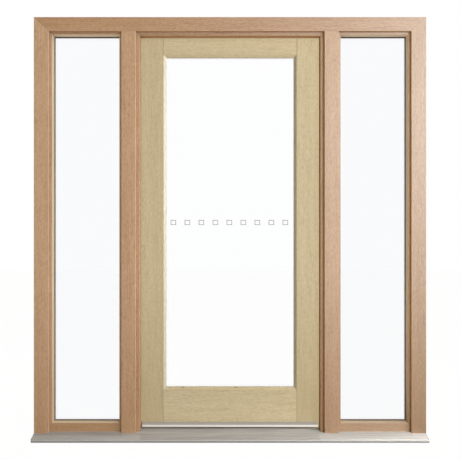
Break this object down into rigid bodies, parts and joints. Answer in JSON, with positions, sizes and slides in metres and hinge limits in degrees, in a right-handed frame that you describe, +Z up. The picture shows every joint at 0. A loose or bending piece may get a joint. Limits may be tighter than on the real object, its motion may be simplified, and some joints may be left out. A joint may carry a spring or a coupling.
{
  "type": "glazed wooden door with sidelights",
  "caption": "Timber entrance doorset: a glazed leaf that opens inwards between fixed glazed sidelights, in a stepped moulded frame on a sloped aluminium sill.",
  "frame": {"origin": "middle of the width, on the sill's underside, in the plane of the frame's outside face", "axes": "+X to the right as seen from outside, +Y into the building, +Z up"},
  "size_m": [1.95, 0.17, 2.1002],
  "materials": {
    "frame_oak": "bare planed oak, pinkish",
    "leaf_oak": "bare planed oak, pale yellow",
    "clear_glass": "clear float glass",
    "spacer_bar": "dark matt",
    "sill_aluminium": "satin mill finish",
    "bright_aluminium": "bright brushed",
    "hinge_steel": "satin"
  },
  "bodies": {
    "frame": {"head": "frame_oak", "hinge_frame_flaps": "hinge_steel", "hinge_pins": "hinge_steel", "jamb_left": "frame_oak", "jamb_right": "frame_oak", "mullion_left": "frame_oak", "mullion_right": "frame_oak", "sidelight_inner_pane_left": "clear_glass", "sidelight_inner_pane_right": "clear_glass", "sidelight_level_beads_left": "frame_oak", "sidelight_level_beads_right": "frame_oak", "sidelight_outer_pane_left": "clear_glass", "sidelight_outer_pane_right": "clear_glass", "sidelight_rail_left": "frame_oak", "sidelight_rail_right": "frame_oak", "sidelight_spacer_left": "spacer_bar", "sidelight_spacer_right": "spacer_bar", "sidelight_upright_beads_left": "frame_oak", "sidelight_upright_beads_right": "frame_oak", "sill": "sill_aluminium", "sill_end_caps": "sill_aluminium"},
    "leaf": {"hinge_leaf_flaps": "hinge_steel", "leaf_bottom_rail": "leaf_oak", "leaf_closing_stile": "leaf_oak", "leaf_hinge_stile": "leaf_oak", "leaf_inner_level_beads": "leaf_oak", "leaf_inner_pane": "clear_glass", "leaf_inner_upright_beads": "leaf_oak", "leaf_outer_level_beads": "leaf_oak", "leaf_outer_pane": "clear_glass", "leaf_outer_upright_beads": "leaf_oak", "leaf_rain_deflector": "bright_aluminium", "leaf_spacer": "spacer_bar", "leaf_top_rail": "leaf_oak"}
  },
  "joints": [
    {"name": "leaf_swing", "type": "hinge", "parent": "frame", "child": "leaf", "pos_m": [-0.46, 0.1085, 1], "axis": [0, 0, 1], "range_deg": [0, 90]}
  ]
}
